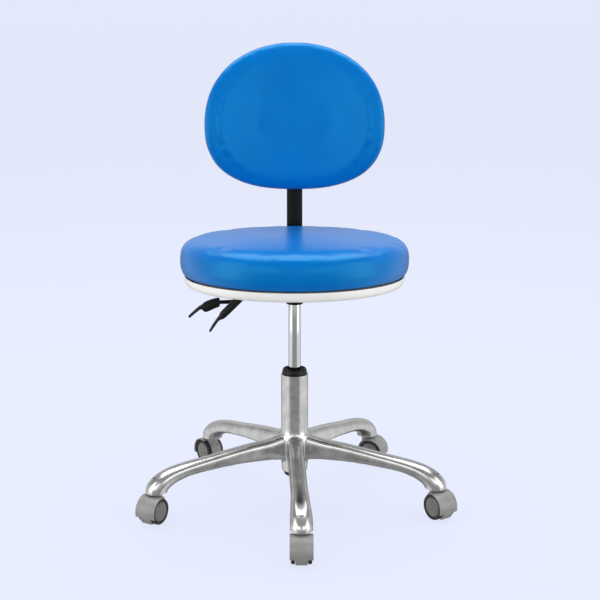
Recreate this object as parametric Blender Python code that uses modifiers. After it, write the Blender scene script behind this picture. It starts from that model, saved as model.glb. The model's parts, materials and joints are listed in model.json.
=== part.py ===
# Dentist stool: five-arm aluminium base on twin-wheel casters, gas lift, two-lever mechanism,
# round seat and oval reclining backrest. Metres, +Z up, the sitter faces -Y.

from math import cos, pi, radians, sin

import bmesh
import bpy
from mathutils import Matrix, Vector

# Driving dimensions.
COLUMN_X = -0.0048  # puts the middle of the whole stool's box on X = 0
COLUMN_Y = 0.0100  # and on Y = 0
GAP = 0.0003  # clearance between touching pieces

STEM_CIRCLE = 0.280  # column axis to caster stem
BASE_YAW = 2.5  # degrees, the front arm's turn towards +X
ARM_STEP = 72.0
ARM_LIP_Z = 0.058
ARM_END_RADIUS = 0.0208
SLEEVE_RADIUS = 0.0262
SLEEVE_TOP_Z = 0.263
SLEEVE_BORE = 0.0213

TUBE_RADIUS = 0.0210
TUBE_BOTTOM_Z = 0.058
GUIDE_TOP_Z = 0.2735
LIFT_RADIUS = 0.0120  # chrome cylinder
LIFT_BOTTOM_Z = 0.208
LIFT_TOP_Z = 0.4255
PISTON_RADIUS = 0.0050
PIN_RADIUS = 0.0040
SOCKET_BOTTOM_Z = 0.402

SEAT_Z = 0.445  # the seat frame's origin on the column axis
SEAT_TILT = 3.0  # degrees, rear edge low
SEAT_RADIUS = 0.2205
SHELL_RADIUS = 0.2090
BOARD_THICKNESS = 0.0120
PLATE_HALF = (0.090, 0.090)
BOLT_PLACE = (0.072, 0.070)
LEVER_PIVOT_X = -0.035
HEIGHT_LEVER_W = -0.0105
RECLINE_LEVER_V = -0.055

RECLINE_V, RECLINE_W = 0.098, -0.019  # the bar's pivot in the seat frame
BAR_WIDTH, BAR_THICKNESS = 0.032, 0.006
BAR_BEND = 0.030
BAR_BEND_V = 0.2085
BAR_LEAN = 3.0  # degrees, beyond the seat's own tilt
BAR_RISE = 0.378  # straight length above the bend
BACK_RISE = 0.290  # the backrest's middle, along the bar from the bend

BACK_HALF_WIDTH = 0.1815
BACK_ABOVE, BACK_BELOW = 0.1660, 0.1330  # from the widest line to top and bottom
BACK_WRAP = 0.55  # radius of the backrest's wrap about the sitter

WHEEL_RADIUS = 0.025
WHEEL_TRAIL = 0.012
WHEEL_SIDES = 16
HOOD_RADIUS = 0.0285
HOOD_HALF_WIDTH = 0.0210
CASTERS = {  # name: (arm number, direction that the wheels trail in, degrees)
    "front": (0, 0.0),
    "right": (1, 35.0),
    "rear_right": (2, 66.0),
    "rear_left": (3, -143.0),
    "left": (4, -30.0),
}

COLOURS = {  # name: (colour, roughness, metallic)
    "polished_aluminium": ((0.50, 0.50, 0.49), 0.22, 1.0),
    "chrome": ((0.62, 0.62, 0.61), 0.08, 1.0),
    "steel": ((0.45, 0.45, 0.45), 0.35, 1.0),
    "black_steel": ((0.010, 0.010, 0.012), 0.25, 0.0),
    "black_plastic": ((0.014, 0.014, 0.014), 0.45, 0.0),
    "rubber": ((0.020, 0.020, 0.020), 0.80, 0.0),
    "blue_vinyl": ((0.004, 0.165, 0.570), 0.35, 0.0),
    "white_abs": ((0.800, 0.800, 0.760), 0.35, 0.0),
    "plywood": ((0.420, 0.270, 0.130), 0.70, 0.0),
    "grey_nylon": ((0.230, 0.230, 0.225), 0.45, 0.0),
}


def collection(name):
    made = bpy.data.collections.new(name)
    bpy.context.scene.collection.children.link(made)
    return made


for old in list(bpy.data.objects):
    bpy.data.objects.remove(old)
parts = collection("dentist_stool")
cutters = collection("cutters")


def finish_of(name):
    found = bpy.data.materials.get(name)
    if found:
        return found
    colour, roughness, metallic = COLOURS[name]
    found = bpy.data.materials.new(name)
    found.use_nodes = True
    shader = found.node_tree.nodes["Principled BSDF"]
    shader.inputs["Base Color"].default_value = (*colour, 1.0)
    shader.inputs["Roughness"].default_value = roughness
    shader.inputs["Metallic"].default_value = metallic
    return found


def empty(name, parent=None, location=(0, 0, 0), rotation=(0, 0, 0)):
    made = bpy.data.objects.new(name, None)
    made.location = location
    made.rotation_euler = [radians(angle) for angle in rotation]
    made.parent = parent
    parts.objects.link(made)
    return made


def mesh_object(name, bm, finish, parent):
    """A part when it has a finish, and a cutter or a guide when it has none."""
    mesh = bpy.data.meshes.new(name)
    bm.to_mesh(mesh)
    bm.free()
    made = bpy.data.objects.new(name, mesh)
    made.parent = parent
    if finish:
        mesh.materials.append(finish_of(finish))
        mesh.shade_smooth()
        mesh.set_sharp_from_angle(angle=radians(35))
        parts.objects.link(made)
    else:
        made.hide_render = True
        made.display_type = "WIRE"
        cutters.objects.link(made)
    return made


def turned(name, profile, finish, parent, steps=20):
    """A body of revolution about Z. The profile runs down the outer side, as (radius, height)."""
    bm = bmesh.new()
    line = [bm.verts.new((radius, 0, height)) for radius, height in profile]
    for start, end in zip(line, line[1:]):
        bm.edges.new((start, end))
    if profile[0][0] > 0:
        bm.edges.new((line[-1], line[0]))
    made = mesh_object(name, bm, None, parent)
    screw = made.modifiers.new("Turn", "SCREW")
    screw.steps = screw.render_steps = steps
    screw.use_merge_vertices = True
    screw.merge_threshold = 0.00001
    return settled(made, finish)


def settled(made, finish):
    """The object with its modifiers applied to its mesh."""
    bpy.context.view_layer.update()
    graph = bpy.context.evaluated_depsgraph_get()
    mesh = bpy.data.meshes.new_from_object(made.evaluated_get(graph))
    bm = bmesh.new()
    bm.from_mesh(mesh)
    bmesh.ops.remove_doubles(bm, verts=bm.verts, dist=0.000001)
    name, parent = made.name, made.parent
    bpy.data.objects.remove(made)
    return mesh_object(name, bm, finish, parent)


def block(name, low, high, finish, parent, bevel=0.0):
    bm = bmesh.new()
    size = Vector(high) - Vector(low)
    middle = (Vector(high) + Vector(low)) / 2
    bmesh.ops.create_cube(bm, matrix=Matrix.Translation(middle) @ Matrix.Diagonal((*size, 1)))
    if bevel:
        bmesh.ops.bevel(bm, geom=bm.edges, offset=bevel, segments=1, profile=0.5, affect="EDGES")
    return mesh_object(name, bm, finish, parent)


def rod(name, start, end, radius, finish, parent, sides=24):
    bm = bmesh.new()
    along = Vector(end) - Vector(start)
    turn = along.to_track_quat("Z", "Y").to_matrix().to_4x4()
    place = Matrix.Translation((Vector(start) + Vector(end)) / 2) @ turn
    bmesh.ops.create_cone(
        bm, cap_ends=True, segments=sides, radius1=radius, radius2=radius, depth=along.length, matrix=place
    )
    return mesh_object(name, bm, finish, parent)


def wire(name, points, radius, finish, parent):
    """A round wire or bent rod through the points."""
    curve = bpy.data.curves.new(name, "CURVE")
    curve.dimensions = "3D"
    curve.bevel_depth = radius
    curve.bevel_resolution = 2
    curve.use_fill_caps = True
    spline = curve.splines.new("POLY")
    spline.points.add(len(points) - 1)
    for point, place in zip(spline.points, points):
        point.co = (*place, 1)
    made = bpy.data.objects.new(name, curve)
    made.parent = parent
    cutters.objects.link(made)
    return settled(made, finish)


def loft(name, sections, finish, parent):
    """A closed body through rings of equally many points."""
    bm = bmesh.new()
    rings = [[bm.verts.new(point) for point in section] for section in sections]
    for lower, upper in zip(rings, rings[1:]):
        for i in range(len(lower)):
            bm.faces.new((lower[i - 1], lower[i], upper[i], upper[i - 1]))
    bm.faces.new(rings[0])
    bm.faces.new(rings[-1])
    bmesh.ops.recalc_face_normals(bm, faces=bm.faces)
    return mesh_object(name, bm, finish, parent)


def rounded(count, power):
    """Points around a unit superellipse: a circle at power 2, nearly a square at power 5."""
    for i in range(count):
        angle = 2 * pi * (i + 0.5) / count
        c, s = cos(angle), sin(angle)
        size = (abs(c) ** power + abs(s) ** power) ** (-1 / power)
        yield c * size, s * size


def combine(made, other, operation="DIFFERENCE"):
    boolean = made.modifiers.new(other.name, "BOOLEAN")
    boolean.operation = operation
    boolean.object = other


def heading(degrees):
    """The direction at this angle from -Y towards +X."""
    return Vector((sin(radians(degrees)), -cos(radians(degrees)), 0))


column = empty("column_axis", location=(COLUMN_X, COLUMN_Y, 0))


# ---- star base: hub, sleeve and five gooseneck arms, one casting ----

# Each station is (top radius, top z, underside radius, underside z, half width, squareness, top taper).
ARM_STATIONS = [
    (0.008, 0.146, 0.008, 0.086, 0.0165, 4.4, 0.14),
    (0.036, 0.1385, 0.036, 0.0925, 0.0170, 4.4, 0.14),
    (0.060, 0.1330, 0.060, 0.0948, 0.0170, 4.4, 0.14),
    (0.100, 0.1280, 0.100, 0.0955, 0.0170, 4.4, 0.14),
    (0.140, 0.1215, 0.140, 0.0937, 0.0170, 4.2, 0.14),
    (0.178, 0.1150, 0.176, 0.0898, 0.0170, 3.6, 0.14),
    (0.208, 0.1107, 0.202, 0.0860, 0.0173, 3.0, 0.12),
    (0.234, 0.1062, 0.222, 0.0815, 0.0180, 2.6, 0.08),
    (0.259, 0.0996, 0.239, 0.0750, 0.0190, 2.3, 0.04),
    (0.280, 0.0895, 0.2505, 0.0680, 0.0202, 2.1, 0),
    (0.294, 0.0765, 0.2570, 0.0620, 0.0208, 2.0, 0),
    (0.2992, 0.0670, 0.2588, 0.0595, 0.0208, 2.0, 0),
    (0.3008, 0.058, 0.2592, 0.058, 0.0208, 2.0, 0),
]
ARM_ROOF = 0.0065  # metal above the channel that is open to the floor
CHANNEL_STATIONS = slice(1, 8)
CHANNEL_HALF_WIDTH = 0.0118


def arm_section(station, count=10):
    top_r, top_z, under_r, under_z, half_width, power, taper = station
    middle = Vector((0, -(top_r + under_r) / 2, (top_z + under_z) / 2))
    half_depth = Vector((0, -(top_r - under_r) / 2, (top_z - under_z) / 2))
    for across, up in rounded(count, power):
        narrow = 1 - taper * (up + 1) / 2
        yield middle + half_depth * up + Vector((half_width * across * narrow, 0, 0))


def channel_station(station):
    top_r, top_z, under_r, under_z, _, _, taper = station
    return (top_r - 0.004, top_z - ARM_ROOF, under_r - 0.004, under_z - 0.020, CHANNEL_HALF_WIDTH, 4.0, taper)


def make_arm():
    """One arm along -Y, with its channel and stem bore cut."""
    arm = loft("arm", [list(arm_section(station)) for station in ARM_STATIONS], None, None)
    hollow = [list(arm_section(channel_station(station))) for station in ARM_STATIONS[CHANNEL_STATIONS]]
    channel = loft("arm_channel", hollow, None, None)
    low, high = (0, -STEM_CIRCLE, ARM_LIP_Z - 0.01), (0, -STEM_CIRCLE, 0.0865)
    bore = rod("stem_bore", low, high, 0.0060, None, None, 12)
    combine(arm, channel)
    combine(arm, bore)
    made = settled(arm, None)
    bpy.data.objects.remove(channel)
    bpy.data.objects.remove(bore)
    return made


def make_star_base():
    hub_profile = [
        (SLEEVE_BORE - 0.003, SLEEVE_TOP_Z),
        (SLEEVE_RADIUS - 0.0015, SLEEVE_TOP_Z),
        (SLEEVE_RADIUS, SLEEVE_TOP_Z - 0.002),
        (SLEEVE_RADIUS, 0.152),
        (0.0280, 0.142),
        (0.0295, 0.132),
        (0.0298, 0.124),
        (0.0298, 0.104),
        (0.0284, 0.094),
        (0.0262, 0.084),
        (0.0248, 0.066),
        (SLEEVE_BORE - 0.003, 0.066),
    ]
    hub = turned("hub", hub_profile, None, column, steps=24)
    arm = make_arm()
    for number in range(5):
        copy = bpy.data.objects.new(f"arm_{number}", arm.data)
        copy.parent = column
        copy.rotation_euler = (0, 0, radians(BASE_YAW + ARM_STEP * number))
        copy.hide_render = True
        cutters.objects.link(copy)
        combine(hub, copy, "UNION")
    bore = rod("sleeve_bore", (0, 0, 0.05), (0, 0, 0.30), SLEEVE_BORE, None, column, 24)
    combine(hub, bore)
    base = settled(hub, "polished_aluminium")
    base.name = "star_base"
    bpy.data.objects.remove(arm)


make_star_base()


# ---- casters ----


def make_hood():
    """The grey body: a drum over both wheels, with a web between them and a boss round the stem."""
    y, z = -WHEEL_TRAIL, WHEEL_RADIUS
    web = 0.0112
    hood = rod("hood", (-HOOD_HALF_WIDTH, y, z), (HOOD_HALF_WIDTH, y, z), HOOD_RADIUS, None, None, 20)
    tools = []
    for side in (-1, 1):
        inner, outer = side * web, side * (HOOD_HALF_WIDTH + 0.01)
        tools.append(rod("pocket", (inner, y, z), (outer, y, z), WHEEL_RADIUS + 0.0014, None, None, 20))
        low = (min(inner, outer), y + 0.002, -0.01)
        high = (max(inner, outer), y + 0.040, z + 0.021)
        tools.append(block("leading_side", low, high, None, None))
        low = (min(inner, outer), y - 0.040, -0.01)
        high = (max(inner, outer), y + 0.040, 0.0170)
        tools.append(block("trailing_foot", low, high, None, None))
    tools.append(block("underside", (-0.03, y - 0.04, -0.01), (0.03, y + 0.04, 0.0040), None, None))
    tools.append(rod("axle_bore", (-0.03, y, z), (0.03, y, z), 0.0034, None, None, 8))
    for tool in tools:
        combine(hood, tool)
    drum = settled(hood, None)
    boss = rod("boss", (0, 0, 0.030), (0, 0, 0.0545), 0.0110, None, None, 12)
    combine(drum, boss, "UNION")
    bore = rod("stem_hole", (0, 0, 0.033), (0, 0, 0.060), 0.0060, None, None, 10)
    combine(drum, bore)
    made = settled(drum, "grey_nylon")
    for tool in tools + [boss, bore]:
        bpy.data.objects.remove(tool)
    return made


def make_wheel():
    """A wheel turned about Z, its inner face at z = 0 and a flat of its tread facing -Y."""
    corner = WHEEL_RADIUS / cos(pi / WHEEL_SIDES)
    bore = 0.0034
    profile = [
        (0, 0.0090),
        (0.0130, 0.0086),
        (0.0195, 0.0070),
        (0.0235, 0.0070),
        (corner, 0.0055),
        (corner, 0.0),
        (bore, 0.0),
        (bore, 0.0062),
        (0, 0.0062),
    ]
    wheel = turned("wheel", profile, "grey_nylon", None, steps=WHEEL_SIDES)
    wheel.data.transform(Matrix.Rotation(pi / WHEEL_SIDES, 4, "Z"))  # puts a flat on the floor
    return wheel


def make_stem():
    profile = [
        (0, 0.0850),
        (0.0050, 0.0850),
        (0.0056, 0.0842),
        (0.0056, 0.0572),
        (0.0100, 0.0572),
        (0.0100, 0.0550),
        (0.0055, 0.0550),
        (0.0055, 0.0336),
        (0, 0.0336),
    ]
    return turned("stem", profile, "steel", None, steps=10)


def copy_of(source, name, parent, location=(0, 0, 0), rotation=(0, 0, 0)):
    made = bpy.data.objects.new(name, source.data)
    made.parent = parent
    made.location = location
    made.rotation_euler = [radians(angle) for angle in rotation]
    parts.objects.link(made)
    return made


def make_casters():
    hood, wheel, stem = make_hood(), make_wheel(), make_stem()
    axle = rod("axle", (-0.0170, 0, 0), (0.0170, 0, 0), 0.0030, "steel", None, 8)
    for name, (arm, trail) in CASTERS.items():
        place = heading(BASE_YAW + ARM_STEP * arm) * STEM_CIRCLE
        swivel = empty(f"caster_{name}_swivel", column, place, (0, 0, trail))
        axis = empty(f"caster_{name}_axis", swivel, (0, -WHEEL_TRAIL, WHEEL_RADIUS))
        copy_of(stem, f"caster_{name}_stem", swivel)
        copy_of(hood, f"caster_{name}_hood", swivel)
        copy_of(axle, f"caster_{name}_axle", axis)
        copy_of(wheel, f"caster_{name}_wheel_right", axis, (0.0115, 0, 0), (0, 90, 0))
        copy_of(wheel, f"caster_{name}_wheel_left", axis, (-0.0115, 0, 0), (0, -90, 0))
    for source in (hood, wheel, stem, axle):
        bpy.data.objects.remove(source)


make_casters()


# ---- gas lift ----


def make_gas_lift():
    wall = 0.0025
    tube_inside = TUBE_RADIUS - wall
    floor_z = TUBE_BOTTOM_Z + 0.004
    turned(
        "gas_tube",
        [
            (tube_inside, SLEEVE_TOP_Z - GAP),
            (TUBE_RADIUS, SLEEVE_TOP_Z - GAP),
            (TUBE_RADIUS, TUBE_BOTTOM_Z + 0.003),
            (TUBE_RADIUS - 0.002, TUBE_BOTTOM_Z),
            (PISTON_RADIUS + GAP, TUBE_BOTTOM_Z),
            (PISTON_RADIUS + GAP, floor_z),
            (tube_inside, floor_z),
        ],
        "steel",
        column,
    )
    spigot = tube_inside - GAP
    turned(
        "gas_guide_collar",
        [
            (LIFT_RADIUS + GAP, GUIDE_TOP_Z),
            (0.0215, GUIDE_TOP_Z),
            (0.0230, GUIDE_TOP_Z - 0.002),
            (0.0238, SLEEVE_TOP_Z + 0.003),
            (0.0238, SLEEVE_TOP_Z + GAP),
            (spigot, SLEEVE_TOP_Z + GAP),
            (spigot, SLEEVE_TOP_Z - 0.060),
            (LIFT_RADIUS + GAP, SLEEVE_TOP_Z - 0.060),
        ],
        "black_plastic",
        column,
        20,
    )
    turned(
        "gas_thrust_bearing",
        [
            (PISTON_RADIUS + GAP, 0.0700),
            (0.0145, 0.0700),
            (0.0145, 0.0625),
            (PISTON_RADIUS + GAP, 0.0625),
        ],
        "steel",
        column,
        16,
    )
    turned(
        "gas_damper",
        [
            (PISTON_RADIUS + GAP, 0.0800),
            (0.0110, 0.0800),
            (0.0125, 0.0780),
            (0.0125, 0.0703),
            (PISTON_RADIUS + GAP, 0.0703),
        ],
        "rubber",
        column,
        16,
    )
    turned(
        "gas_retaining_clip",
        [
            (PISTON_RADIUS + GAP, 0.0576),
            (0.0105, 0.0576),
            (0.0105, 0.0556),
            (PISTON_RADIUS + GAP, 0.0556),
        ],
        "steel",
        column,
        16,
    )
    head = 0.0097
    turned(
        "gas_piston_rod",
        [
            (0, 0.2280),
            (head, 0.2280),
            (head, 0.2160),
            (PISTON_RADIUS, 0.2160),
            (PISTON_RADIUS, 0.0525),
            (PISTON_RADIUS - 0.001, 0.0515),
            (0, 0.0515),
        ],
        "steel",
        column,
        16,
    )
    inside = 0.0100
    turned(
        "gas_cylinder",
        [
            (PIN_RADIUS + GAP, LIFT_TOP_Z),
            (0.0104, LIFT_TOP_Z),
            (0.0112, LIFT_TOP_Z - 0.001),
            (LIFT_RADIUS - 0.0003, SOCKET_BOTTOM_Z - 0.001),
            (LIFT_RADIUS, SOCKET_BOTTOM_Z - 0.003),
            (LIFT_RADIUS, LIFT_BOTTOM_Z + 0.001),
            (LIFT_RADIUS - 0.001, LIFT_BOTTOM_Z),
            (PISTON_RADIUS + GAP, LIFT_BOTTOM_Z),
            (PISTON_RADIUS + GAP, LIFT_BOTTOM_Z + 0.005),
            (inside, LIFT_BOTTOM_Z + 0.005),
            (inside, LIFT_TOP_Z - 0.012),
            (PIN_RADIUS + GAP, LIFT_TOP_Z - 0.010),
        ],
        "chrome",
        column,
        16,
    )
    turned(
        "gas_release_pin",
        [
            (0, 0.4300),
            (PIN_RADIUS - 0.0008, 0.4300),
            (PIN_RADIUS, 0.4292),
            (PIN_RADIUS, 0.4100),
            (0, 0.4100),
        ],
        "steel",
        column,
        20,
    )
    turned(
        "cone_socket",
        [
            (0.0115, 0.4275),
            (0.0185, 0.4275),
            (0.0185, 0.4180),
            (0.0165, 0.4050),
            (0.0160, SOCKET_BOTTOM_Z),
            (LIFT_RADIUS + GAP, SOCKET_BOTTOM_Z),
        ],
        "black_steel",
        column,
        16,
    )


make_gas_lift()


# ---- mechanism, in the tilted seat frame: x, v rearward, w up ----

seat_frame = empty("seat_frame", column, (0, 0, SEAT_Z), (-SEAT_TILT, 0, 0))

HOUSING_HALF_X = 0.052
HOUSING_FRONT, HOUSING_REAR = -0.068, 0.115
HOUSING_TOP, HOUSING_BOTTOM = -0.0035, -0.0345
HOUSING_NOSE = -0.0205  # its underside slopes down from here, hidden by the shell
HOUSING_KNEE = 0.012
HOUSING_WALL = 0.0025
PLATE_TOP, PLATE_BOTTOM = -0.0002, -0.0032


def make_housing():
    """A pressed pan, open at the top and at the rear, where the bar leaves it."""
    bm = bmesh.new()
    size = Vector((2 * HOUSING_HALF_X, HOUSING_REAR - HOUSING_FRONT, HOUSING_TOP - HOUSING_BOTTOM))
    middle = Vector((0, (HOUSING_REAR + HOUSING_FRONT) / 2, (HOUSING_TOP + HOUSING_BOTTOM) / 2))
    bmesh.ops.create_cube(bm, matrix=Matrix.Translation(middle) @ Matrix.Diagonal((*size, 1)))
    bmesh.ops.bisect_plane(
        bm, geom=bm.verts[:] + bm.edges[:] + bm.faces[:], plane_co=(0, HOUSING_KNEE, 0), plane_no=(0, 1, 0)
    )
    for vert in bm.verts:
        if vert.co.y < HOUSING_FRONT + 0.001 and vert.co.z < HOUSING_BOTTOM + 0.001:
            vert.co.z = HOUSING_NOSE
    lid = [face for face in bm.faces if face.normal.z > 0.9 or face.normal.y > 0.9]
    bmesh.ops.delete(bm, geom=lid, context="FACES")
    pan = mesh_object("mechanism_housing", bm, None, seat_frame)
    wall = pan.modifiers.new("Wall", "SOLIDIFY")
    wall.thickness = HOUSING_WALL
    wall.offset = -1
    pan = settled(pan, "black_steel")
    left = -HOUSING_HALF_X
    pin_ends = (-0.07, RECLINE_V, RECLINE_W), (0.07, RECLINE_V, RECLINE_W)
    holes = [
        rod("socket_hole", (0, 0.001, -0.060), (0, 0.001, -0.020), 0.0200, None, seat_frame, 32),
        rod("pivot_hole", *pin_ends, 0.0053, None, seat_frame, 12),
        block("height_slot", (left - 0.01, -0.0065, -0.0235), (left + 0.01, 0.0065, 0.01), None, seat_frame),
        block(
            "recline_slot",
            (left - 0.01, RECLINE_LEVER_V - 0.0065, -0.0175),
            (left + 0.01, RECLINE_LEVER_V + 0.0065, 0.01),
            None,
            seat_frame,
        ),
    ]
    for hole in holes:
        combine(pan, hole)


def bolt_places():
    for number, (side, end) in enumerate(((-1, -1), (1, -1), (-1, 1), (1, 1)), 1):
        yield number, side * BOLT_PLACE[0], end * BOLT_PLACE[1]


def make_seat_plate():
    half_x, half_v = PLATE_HALF
    low, high = (-half_x, -half_v, PLATE_BOTTOM), (half_x, half_v, PLATE_TOP)
    plate = block("seat_plate", low, high, "black_steel", seat_frame)
    for number, x, v in bolt_places():
        combine(plate, bolt_clearance(f"plate_hole_{number}", x, v))
    return plate


def bolt_clearance(name, x, v):
    return rod(name, (x, v, -0.012), (x, v, 0.0150), 0.0034, None, seat_frame, 10)


def make_seat_bolts():
    for number, x, v in bolt_places():
        profile = [
            (0, 0.0145),
            (0.0030, 0.0145),
            (0.0030, PLATE_BOTTOM - GAP),
            (0.0060, PLATE_BOTTOM - GAP),
            (0.0060, -0.0062),
            (0.0050, -0.0072),
            (0, -0.0072),
        ]
        bolt = turned(f"seat_bolt_{number}", profile, "steel", seat_frame, 8)
        bolt.location = (x, v, 0)


def grip(name, stations, v, bore_end, parent):
    """A flattened handle in the plane v: each station is (x, w, half depth, half width, slope in degrees)."""
    sections = []
    for x, w, half_depth, half_width, slope in stations:
        down = Vector((sin(radians(slope)), 0, cos(radians(slope))))
        sections.append(
            [
                Vector((x, v, w)) + down * (half_depth * up) + Vector((0, half_width * across, 0))
                for across, up in rounded(10, 2.6)
            ]
        )
    made = loft(name, sections, "black_plastic", parent)
    hole = rod(f"{name}_bore", *bore_end, 0.0043, None, parent, 8)
    combine(made, hole)
    return made


# The levers' own frames turn about these pivots, whose axes run fore and aft.
height_pivot = empty("height_lever_pivot", seat_frame, (LEVER_PIVOT_X, 0, HEIGHT_LEVER_W))
recline_pivot = empty("recline_lever_pivot", seat_frame, (LEVER_PIVOT_X, RECLINE_LEVER_V, HEIGHT_LEVER_W))

HEIGHT_ROD = [
    (0.041, 0),
    (-0.012, 0),
    (-0.022, -0.0035),
    (-0.050, -0.0155),
    (-0.074, -0.0265),
    (-0.087, -0.0290),
    (-0.125, -0.0302),
]
RECLINE_ROD = [(0.055, 0), (-0.028, 0), (-0.046, -0.0024), (-0.060, -0.0049), (-0.082, -0.0266)]
HEIGHT_GRIP = [
    (-0.1080, -0.0295, 0.0080, 0.0085, -2),
    (-0.1110, -0.0300, 0.0090, 0.0095, -8),
    (-0.1210, -0.0330, 0.0095, 0.0105, -18),
    (-0.1325, -0.0380, 0.0097, 0.0110, -24),
    (-0.1395, -0.0415, 0.0075, 0.0112, -27),
    (-0.1450, -0.0400, 0.0034, 0.0112, -34),
    (-0.1560, -0.0485, 0.0028, 0.0105, -40),
    (-0.1665, -0.0580, 0.0024, 0.0085, -45),
]
RECLINE_GRIP = [
    (-0.0620, -0.0068, 0.0066, 0.0080, -44),
    (-0.0652, -0.0100, 0.0072, 0.0090, -45),
    (-0.0820, -0.0266, 0.0074, 0.0100, -45),
    (-0.0985, -0.0430, 0.0070, 0.0105, -45),
    (-0.1030, -0.0480, 0.0048, 0.0105, -46),
    (-0.1085, -0.0522, 0.0030, 0.0105, -49),
    (-0.1165, -0.0635, 0.0027, 0.0095, -54),
    (-0.1235, -0.0745, 0.0022, 0.0080, -56),
]


def lever_points(route):
    return [Vector((x, 0, w)) for x, w in route]


def make_levers():
    wire("height_lever_rod", lever_points(HEIGHT_ROD), 0.0038, "black_steel", height_pivot)
    wire("recline_lever_rod", lever_points(RECLINE_ROD), 0.0038, "black_steel", recline_pivot)
    grip("height_lever_grip", HEIGHT_GRIP, 0, ((-0.100, 0, -0.0294), (-0.1262, 0, -0.0303)), height_pivot)
    grip("recline_lever_grip", RECLINE_GRIP, 0, ((-0.0530, 0, 0.0020), (-0.0835, 0, -0.0281)), recline_pivot)


make_housing()
make_seat_plate()
make_seat_bolts()
make_levers()


# ---- reclining bar ----

bar_frame = empty("recline_axis", seat_frame, (0, RECLINE_V, RECLINE_W))


def bar_line():
    """The bar's middle line in the bar frame, as (rearward, up), from the pivot to its top."""
    bend_v = BAR_BEND_V - RECLINE_V
    yield 0.004, 0
    for step in range(9):
        angle = radians((90 - BAR_LEAN) * step / 8)
        yield bend_v + BAR_BEND * sin(angle), BAR_BEND * (1 - cos(angle))
    yield bar_point(BAR_RISE)


def bar_point(rise):
    """A point this far up the straight part of the bar."""
    angle = radians(90 - BAR_LEAN)
    rearward = BAR_BEND_V - RECLINE_V + BAR_BEND * sin(angle) + rise * cos(angle)
    return rearward, BAR_BEND * (1 - cos(angle)) + rise * sin(angle)


def make_bar():
    bm = bmesh.new()
    half = BAR_WIDTH / 2
    rows = [[bm.verts.new((x, v, w)) for x in (-half, half)] for v, w in bar_line()]
    for lower, upper in zip(rows, rows[1:]):
        bm.faces.new((lower[0], lower[1], upper[1], upper[0]))
    strip = mesh_object("back_bar", bm, None, bar_frame)
    thick = strip.modifiers.new("Thickness", "SOLIDIFY")
    thick.thickness = BAR_THICKNESS
    thick.offset = 0
    strip = settled(strip, "black_steel")
    barrel = rod("bar_barrel", (-0.020, 0, 0), (0.020, 0, 0), 0.0100, None, bar_frame, 16)
    hole = rod("bar_hole", (-0.03, 0, 0), (0.03, 0, 0), 0.0054, None, bar_frame, 12)
    combine(strip, barrel, "UNION")
    combine(strip, hole)


def make_recline_hardware():
    low, high = (-0.0560, RECLINE_V, RECLINE_W), (0.0560, RECLINE_V, RECLINE_W)
    rod("recline_pivot_pin", low, high, 0.0050, "steel", seat_frame, 12)
    turns, per_turn, coil, length = 3, 8, 0.0080, 0.018
    points = []
    for step in range(turns * per_turn + 1):
        angle = 2 * pi * step / per_turn
        x = 0.0235 + length * step / (turns * per_turn)
        points.append(Vector((x, RECLINE_V + coil * cos(angle), RECLINE_W + coil * sin(angle))))
    wire("recline_spring", points, 0.0011, "steel", seat_frame)


make_bar()
make_recline_hardware()


# ---- seat ----


def make_seat():
    cushion_rim = [
        (0.1100, 0.0842),
        (0.1800, 0.0830),
        (0.2020, 0.0800),
        (0.2120, 0.0740),
        (0.2180, 0.0640),
        (SEAT_RADIUS, 0.0480),
        (0.2195, 0.0320),
        (0.2165, 0.0210),
        (0.2110, 0.0145),
        (0.1945, 0.0145),
        (0.1935, 0.0176),
    ]
    turned("seat_cushion", [(0, 0.0850), *cushion_rim, (0, 0.0176)], "blue_vinyl", seat_frame, 36)
    shell = turned(
        "seat_shell",
        [
            (0, 0.0042),
            (0.1480, 0.0042),
            (0.1600, 0.0004),
            (0.1700, -0.0012),
            (0.1950, -0.0012),
            (0.2020, 0.0012),
            (0.2052, 0.0070),
            (0.2065, 0.0140),
            (SHELL_RADIUS, 0.0140),
            (0.2084, 0.0050),
            (0.2040, -0.0018),
            (0.1960, -0.0042),
            (0.1700, -0.0042),
            (0.1580, -0.0024),
            (0.1480, 0.0010),
            (0, 0.0010),
        ],
        "white_abs",
        seat_frame,
        36,
    )
    board_low = 0.0045
    board = turned(
        "seat_board",
        [
            (0, board_low + BOARD_THICKNESS),
            (0.192, board_low + BOARD_THICKNESS),
            (0.192, board_low),
            (0, board_low),
        ],
        "plywood",
        seat_frame,
        24,
    )
    for number, x, v in bolt_places():
        hole = bolt_clearance(f"seat_hole_{number}", x, v)
        combine(shell, hole)
        combine(board, hole)


make_seat()


# ---- backrest, in a frame on the bar: y rearward, z along the bar ----

back_rearward, back_up = bar_point(BACK_RISE)
back_frame = empty("back_height_axis", bar_frame, (0, back_rearward, back_up), (-BAR_LEAN, 0, 0))


def back_outline(angle):
    """The oval's point at this angle, as (x, z) from the middle of its height."""
    c, s = cos(angle), sin(angle)
    reach, power = (BACK_ABOVE, 2.15) if s > 0 else (BACK_BELOW, 2.5)
    size = (abs(c / BACK_HALF_WIDTH) ** power + abs(s / reach) ** power) ** (-1 / power)
    return c * size, s * size - (BACK_ABOVE - BACK_BELOW) / 2


def oval(name, profile, finish, steps=28):
    """A pad or shell of the backrest's outline, wrapped about the sitter, from (share of outline, y)."""
    sections = []
    for share, y in profile:
        ring = []
        for step in range(steps):
            x, z = back_outline(2 * pi * step / steps)
            x, z = x * share, z * share
            ring.append(Vector((x, y - x * x / (2 * BACK_WRAP), z)))
        sections.append(ring)
    return loft(name, sections, finish, back_frame)


SCREW_X = 0.036


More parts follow.
